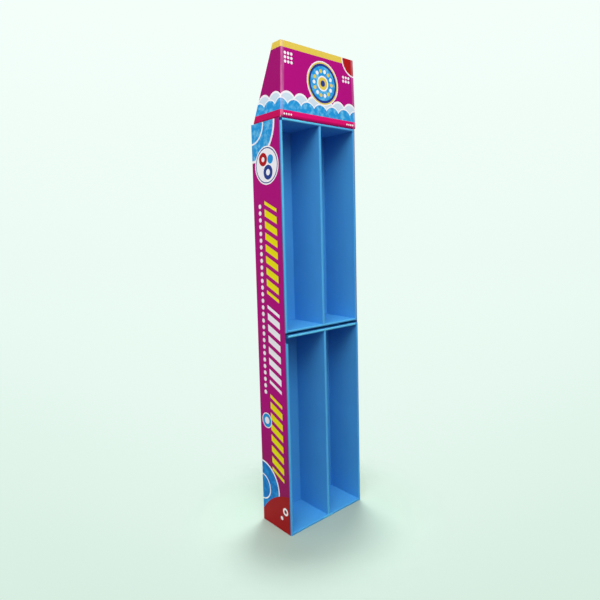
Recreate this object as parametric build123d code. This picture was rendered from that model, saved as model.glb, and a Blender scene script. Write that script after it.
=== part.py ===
"""Corrugated cardboard display stand: a tall outer sleeve, two open trays stacked
in it, one divider in each tray, and a folded header on top.

Millimetres, +Z up, X to the right as seen from the front, the open front faces -Y.
The origin is at the bottom centre of the whole stand. Every piece is one die-cut
sheet, drawn as a section of its folds and extruded to the sheet's width.
"""

import os

from build123d import *

os.makedirs("parts", exist_ok=True)

# Driving dimensions of the body
body_width = 305.0
body_depth = 137.0
body_height = 1220.0

# Outer sleeve
sleeve_board = 1.6
sleeve_setback = 5.0

# Trays, with rolled double walls. The lower tray fills the sleeve, and the upper one is
# narrower and stands against the left panel. Both have a notch in the left roll.
tray_board = 2.2
flap_clearance = 0.2
tray_spacing = 8.5
upper_tray_play = 3.8
lower_notch_height = 23.0
upper_notch_height = 8.0
notch_depth = 25.0
corner_flap_length = 45.0
corner_flap_setback = 6.0

# Dividers
divider_leaf_gap = 4.2
divider_setback = 1.0
lower_divider_offset = 4.0
upper_divider_offset = 2.0

# Tabs and slots of the die-cut sheets
crease_radius = 0.5
seam = 0.3
tab_width = 45.0
wall_tab_count = 3
end_tab_offset = 72.0
divider_end_tab = 40.0

# Header
header_board = 3.0
header_fold_radius = 1.5
header_height = 207.0
header_proud = 2.0
header_taper = 8.5
wing_foot_depth = 126.5
wing_top_depth = 36.5
wing_corner_radius = 10.0
header_flap = 40.0
mitre_slit = 1.0

# Places that follow from the driving dimensions
overall_depth = body_depth + header_proud
header_front = -overall_depth / 2
tray_front = header_front + header_proud
sleeve_back = overall_depth / 2

wall = 3 * tray_board + 2 * flap_clearance
lower_tray_width = body_width - 2 * sleeve_board
upper_tray_width = lower_tray_width - upper_tray_play
tray_depth = body_depth - sleeve_board
tray_height = (body_height - tray_spacing) / 2
inner_leg_end = tray_depth - tray_board - seam
divider_thickness = 2 * tray_board + divider_leaf_gap


def folded(points, board, plane, start, end):
    """Board folded along the mid-line points, from start to end along the plane's normal."""
    with BuildPart() as sheet:
        with BuildSketch(plane.offset(start)):
            with BuildLine():
                FilletPolyline(*points, radius=crease_radius + board / 2)
            trace(line_width=board)
        extrude(amount=end - start)
    return sheet.part


def block(x0, x1, y0, y1, z0, z1):
    """Rectangular region between the given corners, for cuts and tabs."""
    return Pos((x0 + x1) / 2, (y0 + y1) / 2, (z0 + z1) / 2) * Box(x1 - x0, y1 - y0, z1 - z0)


def both_sides(shape):
    """The shape and its mirror image across the middle of the stand."""
    return [shape, mirror(shape, about=Plane.YZ)]


def both_ends(shape):
    """The shape and its mirror image across the middle height of a tray."""
    return [shape, mirror(shape, about=Plane.XY.offset(tray_height / 2))]


def tab_heights():
    """Centres of the tabs along a tray's height."""
    pitch = tray_height / wall_tab_count
    return [pitch * (i + 0.5) for i in range(wall_tab_count)]


def make_sleeve():
    """Back and two side panels, one sheet with two rounded folds."""
    side = body_width / 2 - sleeve_board / 2
    back = sleeve_back - sleeve_board / 2
    front = tray_front + sleeve_setback
    section = [(-side, front), (-side, back), (side, back), (side, front)]
    return folded(section, sleeve_board, Plane.XY, 0, body_height)


def tray_side_walls(width):
    """Back panel and both side walls, each rolled over at the front edge."""
    outer = width / 2 - tray_board / 2
    inner = width / 2 - wall + tray_board / 2
    front = tray_board / 2
    back = tray_depth - tray_board / 2
    half = [(inner, inner_leg_end), (inner, front), (outer, front), (outer, back)]
    section = [(-x, y) for x, y in half] + half[::-1]
    sheet = folded(section, tray_board, Plane.XY, 0, tray_height)

    # Each roll's inner leg is cut short where the end walls pass, and the back panel
    # is cut back to the creases of the end walls
    leg_side = width / 2 - tray_board - seam / 2
    crease = tray_board + crease_radius
    leg_cut = block(0, leg_side, tray_board + seam, inner_leg_end + seam / 2, 0, wall + seam)
    back_cut = block(-leg_side, leg_side, tray_depth - crease, tray_depth, 0, crease)
    cuts = []
    for cut in both_sides(leg_cut) + [back_cut]:
        cuts += both_ends(cut)
    return sheet - cuts


def tray_end_walls(width):
    """Floor and top walls, rolled over at the front edge, with the back between them."""
    outer = tray_board / 2
    inner = wall - tray_board / 2
    front = tray_board / 2
    back = tray_depth - tray_board / 2
    half = [(inner_leg_end, inner), (front, inner), (front, outer), (back, outer)]
    section = half + [(y, tray_height - z) for y, z in half[::-1]]
    reach = width / 2 - wall - seam
    sheet = folded(section, tray_board, Plane.YZ, -reach, reach)

    # The outer legs run on to the side walls and fold into their hollow as corner flaps
    side = width / 2 - tray_board - flap_clearance - tray_board / 2
    flap = [(-side, corner_flap_length), (-side, outer), (side, outer), (side, corner_flap_length)]
    strip_end = tray_depth - tray_board - crease_radius
    strip = folded(flap, tray_board, Plane.XZ, -strip_end, -corner_flap_setback)
    return sheet + both_ends(strip)


def tray_tabs(width):
    """Tabs on the inner legs, flush with the outer face of the back panel."""
    leg = width / 2 - wall
    tabs = []
    for height in tab_heights():
        side_tab = block(leg, leg + tray_board, inner_leg_end, tray_depth,
                         height - tab_width / 2, height + tab_width / 2)
        tabs += both_sides(side_tab)
    end_tab = block(end_tab_offset - tab_width / 2, end_tab_offset + tab_width / 2,
                    inner_leg_end, tray_depth, wall - tray_board, wall)
    for tab in both_sides(end_tab):
        tabs += both_ends(tab)
    return tabs


def tray_slots(width, divider_x):
    """Slots for the tray's own tabs and for the divider's."""
    leg = width / 2 - wall
    back = (tray_depth - tray_board, tray_depth)
    divider_side = divider_thickness / 2 + seam
    slots = []
    for height in tab_heights():
        span = (height - tab_width / 2 - seam, height + tab_width / 2 + seam)
        slots += both_sides(block(leg - seam, leg + tray_board + seam, *back, *span))
        slots.append(block(divider_x - divider_side, divider_x + divider_side, *back, *span))
    end_slot = block(end_tab_offset - tab_width / 2 - seam, end_tab_offset + tab_width / 2 + seam,
                     *back, wall - tray_board - seam, wall + seam)
    for slot in both_sides(end_slot):
        slots += both_ends(slot)
    middle = tray_depth / 2
    divider_slot = block(divider_x - divider_side, divider_x + divider_side,
                         middle - divider_end_tab / 2 - seam, middle + divider_end_tab / 2 + seam,
                         wall - tray_board, wall)
    return slots + both_ends(divider_slot)


def make_tray(width, notch_height, divider_x):
    """One tray standing on end, its front edges on y = 0 and its floor on z = 0."""
    walls = tray_side_walls(width) + tray_end_walls(width)
    notch = block(-width / 2, wall - width / 2, 0, notch_depth, tray_height - notch_height, tray_height)
    return walls - tray_slots(width, divider_x) - notch + tray_tabs(width)


def make_divider():
    """One sheet folded double at the front, with tabs at the back, bottom and top."""
    leaf = divider_thickness / 2 - tray_board / 2
    front = divider_setback + tray_board / 2
    section = [(-leaf, inner_leg_end), (-leaf, front), (leaf, front), (leaf, inner_leg_end)]
    sheet = folded(section, tray_board, Plane.XY, wall, tray_height - wall - seam)
    tabs = []
    leaf_inner = divider_leaf_gap / 2
    leaf_outer = divider_thickness / 2
    for height in tab_heights():
        tab = block(leaf_inner, leaf_outer, inner_leg_end, tray_depth,
                    height - tab_width / 2, height + tab_width / 2)
        tabs += both_sides(tab)
    middle = tray_depth / 2
    end_tab = block(leaf_inner, leaf_outer, middle - divider_end_tab / 2,
                    middle + divider_end_tab / 2, wall - tray_board, wall)
    top_tab = block(leaf_inner, leaf_outer, middle - divider_end_tab / 2,
                    middle + divider_end_tab / 2, tray_height - wall - seam,
                    tray_height - wall + tray_board)
    return sheet + tabs + both_sides(end_tab) + both_sides(top_tab)


def header_block(half_width, front, bottom, radius):
    """Solid between leaning sides, its folds along the front and bottom edges rounded."""
    top = body_height + header_height
    back = header_front + wing_foot_depth
    lean = header_taper / header_height
    corners = [(-half_width, bottom), (half_width, bottom),
               (half_width - lean * (top - bottom), top), (-half_width + lean * (top - bottom), top)]
    with BuildPart() as solid:
        with BuildSketch(Plane.XZ.offset(-front)):
            with BuildLine():
                Polyline(*corners, close=True)
            make_face()
        extrude(amount=front - back)
        front_edges = solid.faces().sort_by(Axis.Y)[0].edges().sort_by(Axis.Z)[:3]
        foot_edges = solid.faces().sort_by(Axis.Z)[0].edges().filter_by(Axis.Y)
        fillet(front_edges + foot_edges, radius)
    return solid.part


def wing_profile():
    """Side view of the wings as one solid across the stand, its upper back corner rounded."""
    top = body_height + header_height
    top_back = header_front + wing_top_depth
    with BuildPart() as solid:
        with BuildSketch(Plane.YZ.offset(-body_width / 2)):
            with BuildLine():
                Polyline((header_front, body_height), (header_front + wing_foot_depth, body_height),
                         (top_back, top), (header_front, top), close=True)
            make_face()
            corner = vertices().sort_by_distance((-body_width / 2, top_back, top))[0]
            fillet(corner, wing_corner_radius)
        extrude(amount=body_width)
    return solid.part


def make_header():
    """Front panel with two wings folded back and flaps folded in along the foot."""
    half_width = body_width / 2
    lean = header_taper / header_height
    outer = header_block(half_width, header_front, body_height, header_board + header_fold_radius)
    side_board = header_board * (1 + lean ** 2) ** 0.5
    inner = header_block(half_width - side_board - lean * header_board,
                         header_front + header_board, body_height + header_board, header_fold_radius)

    foot_back = header_front + wing_foot_depth
    window = block(header_flap - half_width, half_width - header_flap,
                   header_front + header_flap, foot_back, body_height, body_height + header_board)

    # Slit between the front flap and each side flap
    reach = (header_flap + header_board) * 2 ** 0.5
    slit_height = header_board + header_fold_radius
    slit = Pos(half_width - header_flap / 2, header_front + header_flap / 2,
               body_height + slit_height / 2) * Rot(0, 0, -45) * Box(reach, mitre_slit, slit_height)
    return (outer & wing_profile()) - [inner, window] - both_sides(slit)


divider = make_divider()
lower_place = Pos(0, tray_front, 0)
upper_place = Pos(-upper_tray_play / 2, tray_front, tray_height + tray_spacing)

pieces = {
    "outer_sleeve": make_sleeve(),
    "lower_tray": lower_place * make_tray(lower_tray_width, lower_notch_height, lower_divider_offset),
    "upper_tray": upper_place * make_tray(upper_tray_width, upper_notch_height, upper_divider_offset),
    "lower_divider": lower_place * Pos(lower_divider_offset, 0, 0) * divider,
    "upper_divider": upper_place * Pos(upper_divider_offset, 0, 0) * divider,
    "header": make_header(),
}

for name, shape in pieces.items():
    export_step(shape, f"parts/{name}.step")
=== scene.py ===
"""Looks of the cardboard display stand: printed sleeve and header, plain blue trays and dividers.

Metres, +Z up, the open front faces -Y. The boards keep the forms of the frame. Their print, its
wear and painted highlights at the folds, painted shade low on the sleeve and on the header's
wings, their cut edges with painted shade in the hollows, and their flutes are made here.
"""

import math

import bpy
from mathutils import Matrix, Vector


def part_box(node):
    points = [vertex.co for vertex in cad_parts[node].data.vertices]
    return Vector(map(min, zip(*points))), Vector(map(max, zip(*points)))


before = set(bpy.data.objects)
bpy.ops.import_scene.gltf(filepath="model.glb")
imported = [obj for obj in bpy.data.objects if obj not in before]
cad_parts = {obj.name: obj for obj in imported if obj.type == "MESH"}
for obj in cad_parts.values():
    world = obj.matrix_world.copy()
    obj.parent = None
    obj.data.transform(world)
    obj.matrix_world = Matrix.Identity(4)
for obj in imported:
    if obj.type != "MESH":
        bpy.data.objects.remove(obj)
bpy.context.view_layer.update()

scene = bpy.context.scene
scene.view_settings.view_transform = "Standard"


# Camera: the photograph's own place, found from the corners of the body, trays and header.
# The picture is 600 x 600 pixels, and its optical centre lies a little off its middle.
picture = 600
focal_pixels = 506.92
centre_pixels = (305.66, 281.01)
camera_place = Vector((-1.05461, -1.18193, 0.89956))
yaw = math.radians(41.401)
pitch = math.radians(-5.4045)
roll = math.radians(-1.369)

forward = Vector((math.sin(yaw) * math.cos(pitch), math.cos(yaw) * math.cos(pitch), math.sin(pitch)))
level_right = Vector((math.cos(yaw), -math.sin(yaw), 0.0))
level_up = level_right.cross(forward)
right = math.cos(roll) * level_right + math.sin(roll) * level_up
up = -math.sin(roll) * level_right + math.cos(roll) * level_up

camera_data = bpy.data.cameras.new("camera")
camera_data.sensor_width = 36.0
camera_data.lens = camera_data.sensor_width * focal_pixels / picture
camera_data.shift_x = (picture / 2 - centre_pixels[0]) / picture
camera_data.shift_y = (centre_pixels[1] - picture / 2) / picture
camera = bpy.data.objects.new("camera", camera_data)
turn = Matrix((right, up, -forward)).transposed().to_4x4()
camera.matrix_world = Matrix.Translation(camera_place) @ turn
scene.collection.objects.link(camera)
scene.camera = camera


# Outer sleeve: back and two side panels in one sheet of thin fluted board, printed outside in
# magenta with plain fields, discs and slanted bars, and blue inside. Its back is bare white
# past the bleed. The front edges are cut, and the flutes of the board show there.
sleeve_board = 0.0016
fine_flute = 0.0033
bleed = 0.016

# Shares of the board's thickness on a cut edge: the flute's swing to each side of the middle,
# half its own thickness, and the distance from the middle at which the liners begin
flute_swing = 0.36
flute_half = 0.13
liner_from = 0.40

# Every board's surface: how far its shade, its roughness and its pale wear and painted highlights
# vary, its sheen, the heights of its fibres and of its slow waves, and how strongly all its relief shows
shade_variation = 0.05
rough_variation = 0.08
wear_and_highlight_variation = 0.2
sheen = 0.08
fibre_height = 0.00002
wave_height = 0.004
relief_strength = 0.6


class Paint:
    """Short calls for the nodes of one material, or of the backdrop."""

    def __init__(self, tree):
        self.tree = tree

    def plug(self, socket, value):
        """Link the socket to a node's output, or set its own value."""
        if isinstance(value, bpy.types.NodeSocket):
            self.tree.links.new(value, socket)
        else:
            socket.default_value = value

    def node(self, kind, inputs=None, **settings):
        """New node with its settings, and with inputs given by name or number."""
        node = self.tree.nodes.new(kind)
        for name, setting in settings.items():
            setattr(node, name, setting)
        for key, value in (inputs or {}).items():
            self.plug(node.inputs[key], value)
        return node

    def split(self, vector):
        """The vector's x, y and z."""
        return self.node("ShaderNodeSeparateXYZ", {0: vector}).outputs

    def math(self, operation, *values):
        """Result of one operation on the values."""
        return self.node("ShaderNodeMath", dict(enumerate(values)), operation=operation).outputs[0]

    def over(self, value, limit):
        """Mask that is 1 where the value is more than the limit."""
        return self.math("GREATER_THAN", value, limit)

    def under(self, value, limit):
        """Mask that is 1 where the value is less than the limit."""
        return self.math("LESS_THAN", value, limit)

    def between(self, value, low, high):
        """Mask that is 1 where the value lies from low to high."""
        return self.math("COMPARE", value, (low + high) / 2, (high - low) / 2)

    def both(self, first, *others):
        """Product of masks or shares."""
        for other in others:
            first = self.math("MULTIPLY", first, other)
        return first

    def either(self, first, *others):
        """Largest of masks or shares."""
        for other in others:
            first = self.math("MAXIMUM", first, other)
        return first

    def soft(self, value, start, end):
        """Share that rises smoothly from 0 at the start to 1 at the end."""
        limits = {"Value": value, "From Min": start, "From Max": end}
        return self.node("ShaderNodeMapRange", limits, interpolation_type="SMOOTHSTEP").outputs["Result"]

    def spread(self, share, low, high):
        """Value that is low at a share of 0 and high at 1."""
        return self.math("MULTIPLY_ADD", share, high - low, low)

    def pick(self, otherwise, mask, value):
        """The value where the mask is 1, and otherwise the first one."""
        return self.node("ShaderNodeMix", {"Factor": mask, "A": otherwise, "B": value}).outputs["Result"]

    def ink(self, below, share, colour):
        """The share of a colour laid over the one below."""
        inks = {"Factor": share, "A": below, "B": colour}
        return self.node("ShaderNodeMix", inks, data_type="RGBA").outputs["Result"]


class Card(Paint):
    """Material of a board, with its print drawn on the board's own coordinates."""

    def __init__(self, name):
        self.material = bpy.data.materials.new(name)
        self.material.use_nodes = True
        super().__init__(self.material.node_tree)
        self.place = self.node("ShaderNodeTexCoord").outputs["Object"]
        self.x, self.y, self.z = self.split(self.place)
        face = self.node("ShaderNodeNewGeometry").outputs["True Normal"]
        self.facing_x, self.facing_y, self.facing_z = self.split(face)

    def point(self, across, rise):
        """Point on the flat sheet."""
        return self.node("ShaderNodeCombineXYZ", {0: across, 1: rise}).outputs[0]

    def repeat(self, value, pitch):
        """Distance past the nearest of the places that lie a pitch apart."""
        return self.math("WRAP", value, pitch / 2, -pitch / 2)

    def disc(self, point, centre, radius):
        """Mask of a disc."""
        reach = self.node("ShaderNodeVectorMath", {0: point, 1: (*centre, 0.0)}, operation="DISTANCE")
        return self.under(reach.outputs["Value"], radius)

    def discs(self, below, point, groups, *masks):
        """Discs of ink: each group has one centre, and its radii and inks from the largest."""
        for centre, rings in groups:
            for radius, colour in rings:
                below = self.ink(below, self.both(self.disc(point, centre, radius), *masks), colour)
        return below

    def noise(self, scale, detail, rise=1.0):
        """Cloudy noise over the board, drawn out upright where rise is under 1."""
        stretch = self.node("ShaderNodeMapping", {"Vector": self.place, "Scale": (1.0, 1.0, rise)})
        cloud = {"Vector": stretch.outputs[0], "Scale": scale, "Detail": detail}
        return self.node("ShaderNodeTexNoise", cloud).outputs["Fac"]

    def speckle(self):
        """Share of pale speckles in the blue inks."""
        return self.soft(self.noise(scale=70.0, detail=4.0), 0.42, 0.72)

    def fold_wear_and_highlight(self, from_fold, reach, amount):
        """Share of ink made pale towards an upright fold, in fine upright streaks: wear on the sleeve, and
        wear with a painted highlight on the header.
        """
        streak = self.soft(self.noise(scale=160.0, detail=3.0, rise=0.12), 0.3, 0.7)
        near_fold = self.soft(from_fold, reach, reach / 4)
        return self.both(near_fold, self.spread(streak, amount, amount + wear_and_highlight_variation))

    def ripple(self, along, pitch):
        """Height from -1 to 1, one ripple in each pitch."""
        return self.math("SINE", self.math("MULTIPLY", along, 2 * math.pi / pitch))

    def cut_edge(self, across, along, board, pitch, inks):
        """Colour of a cut edge: the wavy flute between two liners, with painted shade in its dark hollows.
        """
        liner, flute, hollow_shade = inks
        flute_middle = self.math("MULTIPLY", self.ripple(along, pitch), board * flute_swing)
        from_flute = self.math("ABSOLUTE", self.math("SUBTRACT", across, flute_middle))
        core = self.ink(flute, self.over(from_flute, board * flute_half), hollow_shade)
        return self.ink(core, self.over(self.math("ABSOLUTE", across), board * liner_from), liner)

    def finish(self, colour, across, pitch, rib_depth, roughness):
        """Lay the colour on, slightly mottled, over the board's ribs, waves and fibres."""
        mottle = self.soft(self.noise(scale=9.0, detail=4.0), 0.25, 0.75)
        brightness = self.spread(mottle, 1 - shade_variation / 2, 1 + shade_variation / 2)
        shade = self.node("ShaderNodeHueSaturation", {"Color": colour, "Value": brightness})
        shader = self.tree.nodes["Principled BSDF"]
        self.plug(shader.inputs["Base Color"], shade.outputs[0])
        self.plug(shader.inputs["Roughness"], self.spread(mottle, roughness, roughness + rough_variation))
        self.plug(shader.inputs["Specular IOR Level"], sheen)

        fibres = self.math("MULTIPLY", self.noise(scale=2600.0, detail=1.0), fibre_height)
        waves = self.math("MULTIPLY", self.noise(scale=5.0, detail=1.0), wave_height)
        ribs = self.math("MULTIPLY", self.ripple(across, pitch), rib_depth / 2)
        relief = self.math("ADD", self.math("ADD", fibres, waves), ribs)
        bump = self.node("ShaderNodeBump", {"Height": relief, "Distance": 1.0, "Strength": relief_strength})
        self.plug(shader.inputs["Normal"], bump.outputs[0])
        return self.material


def srgb(red, green, blue):
    """Linear colour of an sRGB one that is given from 0 to 255."""
    levels = (red / 255, green / 255, blue / 255)
    return tuple(c / 12.92 if c <= 0.04045 else ((c + 0.055) / 1.055) ** 2.4 for c in levels) + (1.0,)


def dress(node, material):
    """Give a board of the frame its material."""
    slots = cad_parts[node].data.materials
    slots.clear()
    slots.append(material)


magenta = srgb(176, 6, 122)
# The next colour is the magenta darkened as painted shade, for the foot of the side panels
shaded_magenta = srgb(144, 12, 88)
lemon = srgb(238, 232, 12)
white_ink = srgb(248, 250, 252)
sky_ink = srgb(34, 154, 222)
pale_water = srgb(112, 200, 240)
deep_water = srgb(22, 118, 198)
deep_blue_ink = srgb(38, 62, 140)
red_ink = srgb(178, 20, 24)
foot_red = srgb(161, 20, 24)
white_liner = srgb(226, 224, 218)
tray_blue = srgb(78, 165, 226)
# Pale pink of rubbed ink, and of the painted highlight along the header's fold
wear_and_highlight_ink = srgb(236, 196, 222)
# Inks of the sleeve's cut edge: liner, flute, and painted shade in the hollows
sleeve_edge_inks = (srgb(150, 60, 130), srgb(132, 104, 120), srgb(84, 60, 78))

# The outer half of the board lies past these two planes
half_width, back, body_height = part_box("outer_sleeve")[1]
side_skin = half_width - sleeve_board / 2
back_skin = back - sleeve_board / 2

sleeve = Card("sleeve_card")
side = sleeve.math("ABSOLUTE", sleeve.x)
from_back = sleeve.math("SUBTRACT", back, sleeve.y)
panel = sleeve.point(from_back, sleeve.z)
speckle = sleeve.speckle()
water = sleeve.ink(sky_ink, speckle, pale_water)
low_water = sleeve.ink(deep_water, speckle, sky_ink)
# The magenta darkens towards the foot of each side panel: painted shade
foot_shade_fade = (0.40, 0.05)
print_and_painted_light = sleeve.ink(magenta, sleeve.soft(sleeve.z, *foot_shade_fade), shaded_magenta)

# On each side panel a quarter disc in the top back corner, a half disc lower on the back edge,
# and a red disc rising from the front foot. A centre is its distance from the back, and its height.
print_and_painted_light = sleeve.discs(print_and_painted_light, panel, (
    ((0.000, body_height), ((0.112, white_ink), (0.105, water), (0.060, white_ink), (0.055, water))),
    ((0.000, 0.110), ((0.086, white_ink), (0.081, low_water), (0.042, white_ink), (0.038, low_water))),
    ((0.160, -0.070), ((0.190, foot_red),)),
))

# Slanted bars in a tall column, in three runs of colour
bar_column = (0.054, 0.110)
bar_pitch = 0.034
bar_width = 0.0204
bar_slope = 0.45
slant = sleeve.math("MULTIPLY_ADD", from_back, bar_slope, sleeve.z)
from_bar = sleeve.math("ABSOLUTE", sleeve.repeat(slant, bar_pitch))
bars = sleeve.both(sleeve.under(from_bar, bar_width / 2), sleeve.between(from_back, *bar_column))
for low, high, colour in ((0.748, 1.020, lemon), (0.476, 0.714, white_ink), (0.204, 0.442, lemon)):
    run = sleeve.both(bars, sleeve.between(slant, low, high))
    print_and_painted_light = sleeve.ink(print_and_painted_light, run, colour)

# A row of dots beside the bars, and discs above and below it
dot_pitch = 0.0200
dot_radius = 0.0065
dots_from_back = 0.032
dot_run = (0.41, 0.99)
nearest_dot = sleeve.point(from_back, sleeve.repeat(sleeve.z, dot_pitch))
dots = sleeve.disc(nearest_dot, (dots_from_back, 0.0), dot_radius)
print_and_painted_light = sleeve.ink(print_and_painted_light, sleeve.both(dots, sleeve.between(sleeve.z, *dot_run)), white_ink)
print_and_painted_light = sleeve.discs(print_and_painted_light, panel, (
    ((0.070, 1.096), ((0.055, white_ink), (0.051, deep_blue_ink), (0.048, white_ink))),
    ((0.054, 1.114), ((0.019, red_ink), (0.007, white_ink))),
    ((0.088, 1.112), ((0.013, sky_ink),)),
    ((0.076, 1.076), ((0.021, deep_blue_ink), (0.009, white_ink))),
    ((0.034, 0.330), ((0.024, white_ink), (0.021, sky_ink), (0.011, white_ink))),
    ((0.112, 0.066), ((0.012, white_ink), (0.006, foot_red))),
    ((0.094, 0.040), ((0.006, white_ink),)),
))

# The back is bare past the bleed, and the ink is rubbed along the two folds
on_back = sleeve.both(sleeve.over(sleeve.y, back_skin), sleeve.under(side, half_width - bleed))
print_and_painted_light = sleeve.ink(print_and_painted_light, on_back, white_liner)
from_fold = sleeve.math("MAXIMUM", from_back, sleeve.math("SUBTRACT", half_width, side))
print_and_painted_light = sleeve.ink(print_and_painted_light, sleeve.fold_wear_and_highlight(from_fold, reach=0.003, amount=0.10), wear_and_highlight_ink)

# The print is outside, and the inside is plain blue. The front, foot and top edges are cut: their
# faces are those that turn forwards, up or down.
outside = sleeve.either(sleeve.over(side, side_skin), sleeve.over(sleeve.y, back_skin))
colour = sleeve.ink(tray_blue, outside, print_and_painted_light)
edge_turn = 0.5
on_edge = sleeve.either(sleeve.over(sleeve.math("ABSOLUTE", sleeve.facing_z), edge_turn),
                        sleeve.under(sleeve.facing_y, -edge_turn))
from_middle = sleeve.math("SUBTRACT", side, side_skin)
edge = sleeve.cut_edge(from_middle, sleeve.y, sleeve_board, fine_flute, sleeve_edge_inks)
colour = sleeve.ink(colour, on_edge, edge)
across_ribs = sleeve.math("ADD", sleeve.x, sleeve.y)
dress("outer_sleeve", sleeve.finish(colour, across_ribs, fine_flute, rib_depth=0.000012, roughness=0.46))


# Trays and dividers: each is one sheet of board printed blue on both faces. The trays' walls are
# rolled over at the front, and the dividers are folded there. The ink on these folds is made pale,
# partly as wear and partly as a painted highlight: most along the trays' tops and high on the left,
# less on the dividers, and not on the right wall, which is left in shade.
tray_flute = 0.0060
roll_depth = 0.003
roll_width = 0.012
roll_height = 0.008
divider_reach = 0.02
# Pale blue of worn ink and of the painted highlight on the folds
worn_and_highlight_blue = srgb(112, 229, 253)

# Shares of the ink made pale by wear and painted highlight, and the heights and the stretch across
# over which they change
side_wear_and_highlight = 0.24
more_highlight_high_up = 0.22
divider_wear_and_highlight = 0.27
top_wear_and_highlight = 0.74
top_wear_and_highlight_at_right = 0.14
above_foot = (0.02, 0.25)
high_up = (0.75, 1.10)
right_to_left = (0.10, -0.10)

(_, tray_front, _), (tray_side, _, lower_top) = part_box("lower_tray")

trays = Card("tray_card")
on_rolls = trays.soft(trays.y, tray_front + roll_depth, tray_front)
off_right_roll = trays.under(trays.x, tray_side - roll_width)
tray_wear_and_highlight = trays.math("MULTIPLY", trays.soft(trays.z, *above_foot), side_wear_and_highlight)
# Paler again high up: painted highlight where more lamp light falls
tray_wear_and_highlight = trays.math("MULTIPLY_ADD", trays.soft(trays.z, *high_up), more_highlight_high_up, tray_wear_and_highlight)
tray_wear_and_highlight = trays.pick(tray_wear_and_highlight, trays.under(trays.math("ABSOLUTE", trays.x), divider_reach), divider_wear_and_highlight)

# The lower tray's top roll, and the upper tray's, which is level with the top of the sleeve
lower_roll = trays.between(trays.z, lower_top - roll_height, lower_top + roll_height / 2)
tray_wear_and_highlight = trays.pick(tray_wear_and_highlight, lower_roll, top_wear_and_highlight)
upper_roll = trays.over(trays.z, body_height - roll_height)
# Along the upper top roll, less pale towards the right: painted highlight from the lamps on the left
upper_wear_and_highlight = trays.spread(trays.soft(trays.x, *right_to_left), top_wear_and_highlight_at_right, top_wear_and_highlight)
tray_wear_and_highlight = trays.pick(tray_wear_and_highlight, upper_roll, upper_wear_and_highlight)
patchiness = trays.soft(trays.noise(scale=120.0, detail=3.0, rise=0.25), 0.45, 0.75)
patchiness = trays.spread(patchiness, 1 - wear_and_highlight_variation, 1 + wear_and_highlight_variation)
tray_wear_and_highlight = trays.both(tray_wear_and_highlight, on_rolls, off_right_roll, patchiness)
# Worn ink and painted highlight, laid on in pale blue
colour = trays.ink(tray_blue, tray_wear_and_highlight, worn_and_highlight_blue)
across_ribs = trays.math("ADD", trays.x, trays.y)
tray_material = trays.finish(colour, across_ribs, tray_flute, rib_depth=0.00003, roughness=0.48)
for name in ("lower_tray", "upper_tray", "lower_divider", "upper_divider"):
    dress(name, tray_material)


# Header: one sheet of thicker fluted board with two wings folded back, printed outside in magenta
# between a yellow band and a crimson one, with scallops and ringed discs. Its inside is bare, and
# flaps along its foot lie on the upper tray and the sleeve.
header_board = 0.003
header_taper = 0.0085
top_band = 0.0175
foot_band = 0.021
crimson = srgb(230, 14, 114)
# The wings' crimson and magenta are darker copies of the front's: painted shade on the wings
shaded_wing_crimson = srgb(202, 4, 90)
yellow = srgb(231, 205, 84)
header_magenta = srgb(181, 8, 126)
shaded_wing_magenta = srgb(162, 5, 110)
pale_ink = srgb(208, 230, 242)
kraft = srgb(176, 142, 104)
# Inks of the header's cut edge: liner, flute, and painted shade in the hollows
header_edge_inks = (srgb(192, 160, 120), srgb(158, 124, 88), srgb(92, 68, 46))

# The folds lean inwards as they rise. Heights on the header are counted from its foot.
(_, header_front, header_foot), (header_side, _, header_top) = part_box("header")
header_lean = header_taper / (header_top - header_foot)

header = Card("header_card")
rise = header.math("SUBTRACT", header.z, header_foot)
depth = header.math("SUBTRACT", header.y, header_front)
from_centre = header.math("ABSOLUTE", header.x)
fold_x = header.math("MULTIPLY_ADD", rise, -header_lean, header_side)

# Distance along the sheet from its middle, across the front and on round the fold
wing_turn = 0.7
on_wing = header.over(header.math("ABSOLUTE", header.facing_x), wing_turn)
on_front = header.math("SUBTRACT", 1.0, on_wing)
along = header.pick(from_centre, on_wing, header.math("ADD", depth, fold_x))

# Two rows of scallops, each with a white rim, over the magenta
scallop_pitch = 0.050
water = header.ink(sky_ink, header.speckle(), pale_water)
# The wings are printed darker than the front: painted shade
print_and_painted_light = header.ink(header_magenta, on_wing, shaded_wing_magenta)
for middle, shift, radius, colour in (
    (0.044, scallop_pitch / 2, 0.0300, white_ink), (0.040, scallop_pitch / 2, 0.0280, pale_ink),
    (0.026, 0.0, 0.0300, white_ink), (0.023, 0.0, 0.0290, water),
):
    nearest = header.point(header.repeat(header.math("ADD", along, shift), scallop_pitch), rise)
    scallops = header.either(header.disc(nearest, (0.0, middle), radius), header.under(rise, middle))
    print_and_painted_light = header.ink(print_and_painted_light, scallops, colour)

# The crimson band along the foot and the yellow one along the top
# The crimson band is darker on the wings too: painted shade
foot_colour = header.ink(crimson, on_wing, shaded_wing_crimson)
print_and_painted_light = header.ink(print_and_painted_light, header.under(rise, foot_band), foot_colour)
print_and_painted_light = header.ink(print_and_painted_light, header.over(header.z, header_top - top_band), yellow)

# The big ringed disc, and the red quarter disc in the upper right-hand corner
front = header.point(header.x, rise)
dial = (0.012, 0.116)
print_and_painted_light = header.discs(print_and_painted_light, front, (
    (dial, ((0.063, white_ink), (0.060, yellow), (0.056, deep_blue_ink), (0.049, water))),
    (dial, ((0.022, white_ink), (0.018, yellow), (0.009, deep_blue_ink))),
    ((0.144, 0.207), ((0.052, white_ink), (0.048, red_ink))),
), on_front)

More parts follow.
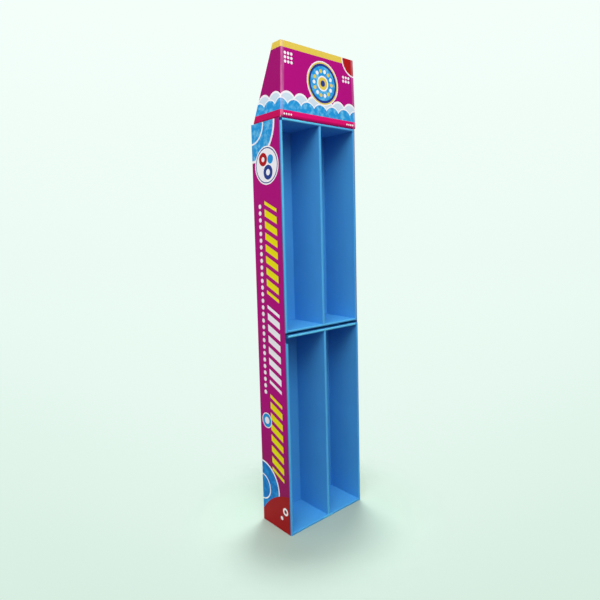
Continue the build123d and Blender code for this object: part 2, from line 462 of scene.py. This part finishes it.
# Small dots: a ring inside the big disc, a block at each side, and a short row at each end of
# the crimson band
ring_count = 14
ring_radius = 0.035
ring_dot = 0.0055
for i in range(ring_count):
    angle = 2 * math.pi * i / ring_count
    centre = (dial[0] + ring_radius * math.cos(angle), dial[1] + ring_radius * math.sin(angle))
    dot = header.both(on_front, header.disc(front, centre, ring_dot))
    print_and_painted_light = header.ink(print_and_painted_light, dot, (yellow, white_ink)[i % 2])
for columns, rows, radius, pitch, x, z in (
    (3, 3, 0.0042, 0.0115, -0.130, 0.152), (3, 2, 0.0042, 0.0115, 0.098, 0.138),
    (4, 1, 0.0028, 0.0085, -0.138, 0.0105), (4, 1, 0.0028, 0.0085, 0.112, 0.0105),
):
    for i in range(columns * rows):
        centre = (x + pitch * (i % columns), z + pitch * (i // columns))
        dot = header.both(on_front, header.disc(front, centre, radius))
        print_and_painted_light = header.ink(print_and_painted_light, dot, white_ink)

# Pale where the front begins to turn into the fold: rubbed ink, and a painted highlight along the round of
# the fold
fold_start = 0.0052
wear_and_highlight_line = header.math("SUBTRACT", fold_x, fold_start)
from_wear_and_highlight = header.math("ABSOLUTE", header.math("SUBTRACT", along, wear_and_highlight_line))
print_and_painted_light = header.ink(print_and_painted_light, header.fold_wear_and_highlight(from_wear_and_highlight, reach=0.009, amount=0.13), wear_and_highlight_ink)

# The print is on the faces that turn forwards, outwards or down, and the others are bare board
outside_turn = 0.3
outwards = header.math("MULTIPLY", header.math("SIGN", header.x), header.facing_x)
outside = header.either(header.over(outwards, outside_turn), header.under(header.facing_y, -outside_turn),
                        header.under(header.facing_z, -outside_turn))
colour = header.ink(kraft, outside, print_and_painted_light)

# The edges along the top and down the sloping backs of the wings are cut. They are the faces that
# turn upwards, apart from the foot flaps, which lie lower.
edge_turn = 0.25
flaps_below = 0.005
to_outside = header.math("MINIMUM", depth, header.math("SUBTRACT", fold_x, from_centre))
from_middle = header.math("SUBTRACT", to_outside, header_board / 2)
edge_run = header.pick(from_centre, header.over(depth, header_board), depth)
edge = header.cut_edge(from_middle, edge_run, header_board, tray_flute, header_edge_inks)
on_edge = header.both(header.over(header.facing_z, edge_turn), header.over(rise, flaps_below))
colour = header.ink(colour, on_edge, edge)
dress("header", header.finish(colour, along, tray_flute, rib_depth=0.00002, roughness=0.44))


# Floor: pale paper that takes the stand's shadow and fades into the backdrop round it. Each
# sample in the fade is wholly paper or wholly clear, which leaves no rim on the floor.
floor_reach = 6.0
floor_fade = (0.22, 0.46)
floor_mesh = bpy.data.meshes.new("floor")
floor_corners = [(x * floor_reach, y * floor_reach, 0) for x, y in ((-1, -1), (1, -1), (1, 1), (-1, 1))]
floor_mesh.from_pydata(floor_corners, [], [(0, 1, 2, 3)])
floor = bpy.data.objects.new("floor", floor_mesh)
scene.collection.objects.link(floor)

floor_material = bpy.data.materials.new("floor_paper")
floor_material.use_nodes = True
paper = Paint(floor_material.node_tree)
paper_shader = paper.tree.nodes["Principled BSDF"]
paper_shader.inputs["Base Color"].default_value = srgb(175, 195, 183)
paper_shader.inputs["Roughness"].default_value = 0.9
paper_shader.inputs["Specular IOR Level"].default_value = 0.0
place = paper.node("ShaderNodeTexCoord").outputs["Object"]
from_stand = paper.node("ShaderNodeVectorMath", {0: place}, operation="LENGTH").outputs["Value"]
grain = paper.node("ShaderNodeTexWhiteNoise", {"Vector": place}).outputs["Value"]
cleared = paper.under(grain, paper.soft(from_stand, *floor_fade))
clear = paper.node("ShaderNodeBsdfTransparent").outputs[0]
surface = paper.node("ShaderNodeMixShader", {0: cleared, 1: paper_shader.outputs[0], 2: clear})
paper.plug(paper.tree.nodes["Material Output"].inputs["Surface"], surface.outputs[0])
floor_mesh.materials.append(floor_material)


# Backdrop: pale green, lighter upwards and in a soft glow behind the stand. The camera and glossy
# or clear surfaces see it, and the boards and the floor are lit by an even, dim room light.
room_light = (1.0, 0.80, 0.96, 1.0)
room_strength = 0.24
low_green = srgb(213, 236, 223)
middle_green = srgb(233, 250, 242)
high_green = srgb(244, 255, 250)
glow_green = srgb(240, 255, 248)
green_span = (-0.62, 0.36)
glow_share = 0.33
glow_drop = 0.22
glow_rim = math.radians(34)
glow_core = math.radians(4)

world = bpy.data.worlds.new("backdrop")
scene.world = world
world.use_nodes = True
air = Paint(world.node_tree)
direction = air.node("ShaderNodeTexCoord").outputs["Generated"]
height = air.split(direction)["Z"]
span = {"Value": height, "From Min": green_span[0], "From Max": green_span[1]}
level = air.node("ShaderNodeMapRange", span).outputs["Result"]
greens = air.node("ShaderNodeValToRGB", {"Fac": level})
greens.color_ramp.elements[0].color = low_green
greens.color_ramp.elements[1].color = high_green
greens.color_ramp.elements.new(0.5).color = middle_green
glow_middle = Vector((forward.x, forward.y, -glow_drop)).normalized()
nearness = air.node("ShaderNodeVectorMath", {0: direction, 1: glow_middle}, operation="DOT_PRODUCT")
glow = air.soft(nearness.outputs["Value"], math.cos(glow_rim), math.cos(glow_core))
backdrop_green = air.ink(greens.outputs["Color"], air.math("MULTIPLY", glow, glow_share), glow_green)
backdrop = air.node("ShaderNodeBackground", {"Color": backdrop_green})
room = air.tree.nodes["Background"]
room.inputs["Color"].default_value = room_light
room.inputs["Strength"].default_value = room_strength
rays = air.node("ShaderNodeLightPath").outputs
sees_backdrop = air.either(rays["Is Camera Ray"], rays["Is Glossy Ray"], rays["Is Transmission Ray"])
surface = air.node("ShaderNodeMixShader", {0: sees_backdrop, 1: room.outputs[0], 2: backdrop.outputs[0]})
air.plug(air.tree.nodes["World Output"].inputs["Surface"], surface.outputs[0])


# Lamps: soft round studio lamps that all face the middle of the stand. Each has its place, its
# width and its power in watts.
stand_middle = Vector((0.0, 0.0, 0.72))
lamp_colour = (0.96, 1.0, 0.97)
for name, place, width, power in (
    ("key_lamp", (-1.9, -1.6, 3.8), 3.0, 117.5),
    ("front_lamp", (-0.3, -2.2, 2.6), 2.4, 34.0),
    ("overhead_lamp", (0.38, 0.30, 4.2), 0.5, 115.0),
    ("back_lamp", (1.6, 2.4, 1.9), 3.0, 50.0),
    ("side_lamp", (-2.9, 1.1, 0.9), 1.5, 18.0),
):
    lamp_data = bpy.data.lights.new(name, "AREA")
    lamp_data.shape = "DISK"
    lamp_data.size = width
    lamp_data.energy = power
    lamp_data.color = lamp_colour
    lamp = bpy.data.objects.new(name, lamp_data)
    lamp.location = place
    lamp.rotation_euler = (stand_middle - Vector(place)).to_track_quat("-Z", "Y").to_euler()
    scene.collection.objects.link(lamp)
